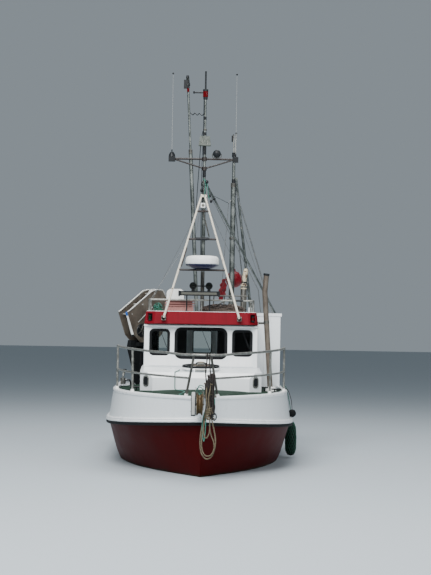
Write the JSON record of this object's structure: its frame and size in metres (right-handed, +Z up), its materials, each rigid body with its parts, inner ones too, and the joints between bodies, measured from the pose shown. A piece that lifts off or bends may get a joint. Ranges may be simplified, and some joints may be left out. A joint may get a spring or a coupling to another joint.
{
  "type": "inshore fishing boat",
  "caption": "Decked inshore fishing boat, afloat: wheelhouse forward, radar frame, masts, swinging boom, net hauler, shelter, hatches, rudder and propeller.",
  "frame": {"origin": "on the waterline, amidships, on the centreline", "axes": "+X to port, +Y aft, +Z up"},
  "size_m": [3.682, 10.1801, 8.7016],
  "materials": {
    "hull_red": "painted glass fibre",
    "gelcoat_white": "white gelcoat",
    "deck_green": "non-slip deck paint",
    "roof_red": "painted glass fibre",
    "aluminium": "weathered",
    "frame_cream": "painted tube",
    "bronze": "cast",
    "engine_iron": "painted casting",
    "rusty_iron": "rusty",
    "glass": "clear, dark inside",
    "wood": "varnished",
    "vinyl": "black vinyl",
    "black_rubber": "moulded",
    "radome_white": "moulded",
    "box_pink": "faded red plastic",
    "buoy_red": "inflated vinyl",
    "net_green": "knotted twine",
    "rope_cream": "laid rope",
    "rope_green": "laid rope"
  },
  "bodies": {
    "boat": {"hull": "hull_red", "topsides": "gelcoat_white", "bulwark_port": "gelcoat_white", "bulwark_starboard": "gelcoat_white", "transom_wall": "gelcoat_white", "rub_rail_port": "gelcoat_white", "rub_rail_starboard": "gelcoat_white", "foredeck": "deck_green", "working_deck": "deck_green", "keel": "hull_red", "engine": "engine_iron", "trunk_cabin": "gelcoat_white", "wheelhouse_front": "gelcoat_white", "wheelhouse_port_side": "gelcoat_white", "wheelhouse_starboard_side": "gelcoat_white", "wheelhouse_back": "gelcoat_white", "wheelhouse_roof": "roof_red", "wheelhouse_floor": "wood", "window_front_centre": "glass", "window_front_port": "glass", "window_front_starboard": "glass", "window_port": "glass", "window_starboard": "glass", "window_back": "glass", "helm_console": "wood", "helm_seat": "vinyl", "a_frame": "frame_cream", "radome": "radome_white", "main_mast": "aluminium", "crosstree": "aluminium", "signal_mast": "aluminium", "derrick_mast": "aluminium", "mast_stay_port": "aluminium", "net_hauler_frame": "aluminium", "bow_rail": "aluminium", "bow_roller_frame": "aluminium", "anchor": "rusty_iron", "bow_rope": "rope_cream", "green_rope": "rope_green", "roof_rail": "aluminium", "roof_box": "box_pink", "liferaft": "gelcoat_white", "exhaust_stack": "aluminium", "vent_pipe": "aluminium", "shelter_wall": "gelcoat_white", "shelter_roof": "gelcoat_white", "hold_coaming": "gelcoat_white", "ball_buoy": "buoy_red", "fender": "net_green"},
    "screw": {"propeller_shaft": "bronze", "propeller": "bronze"},
    "rudder": {"rudder": "hull_red"},
    "helm_wheel": {"steering_wheel": "black_rubber"},
    "door": {"wheelhouse_door": "gelcoat_white", "window_door": "glass"},
    "cabin_hatch": {"fore_hatch": "gelcoat_white"},
    "hold_lid": {"hold_hatch": "gelcoat_white"},
    "boom": {"derrick_boom": "aluminium"},
    "hauler_drum": {"hauler_sheave": "black_rubber"},
    "bow_roller": {"bow_sheave": "rusty_iron"}
  },
  "joints": [
    {"name": "propeller_spin", "type": "hinge", "parent": "boat", "child": "screw", "pos_m": [0, 3.56, -0.82], "axis": [0, 1, 0], "continuous": true},
    {"name": "rudder_turn", "type": "hinge", "parent": "boat", "child": "rudder", "pos_m": [0, 4.05, -0.8], "axis": [0, 0, 1], "range_deg": [-35, 35]},
    {"name": "wheel_turn", "type": "hinge", "parent": "boat", "child": "helm_wheel", "pos_m": [0.45, -0.69, 1.36], "axis": [0, 1, 0], "range_deg": [-540, 540]},
    {"name": "door_swing", "type": "hinge", "parent": "boat", "child": "door", "pos_m": [-0.267, 0.8195, 1.725], "axis": [0, 0, 1], "range_deg": [0, 110]},
    {"name": "fore_hatch_lift", "type": "hinge", "parent": "boat", "child": "cabin_hatch", "pos_m": [0, -2.23015, 1.75643], "axis": [1, 0, 0], "range_deg": [0, 100]},
    {"name": "hold_hatch_lift", "type": "hinge", "parent": "boat", "child": "hold_lid", "pos_m": [0, 1.922, 0.644], "axis": [1, 0, 0], "range_deg": [0, 100]},
    {"name": "boom_swing", "type": "hinge", "parent": "boat", "child": "boom", "pos_m": [1.034, 1.9, 2.905], "axis": [0, 1, 0], "range_deg": [0, 80]},
    {"name": "hauler_spin", "type": "hinge", "parent": "boat", "child": "hauler_drum", "pos_m": [-1.12016, 1.30344, 2.44], "axis": [-0.7314, 0.682, 0], "continuous": true},
    {"name": "bow_roller_spin", "type": "hinge", "parent": "boat", "child": "bow_roller", "pos_m": [-0.04, -5.09, 1.27], "axis": [1, 0, 0], "continuous": true}
  ],
  "couplings": [
    {"joint": "wheel_turn", "follows": "rudder_turn", "ratio": -15.4}
  ]
}
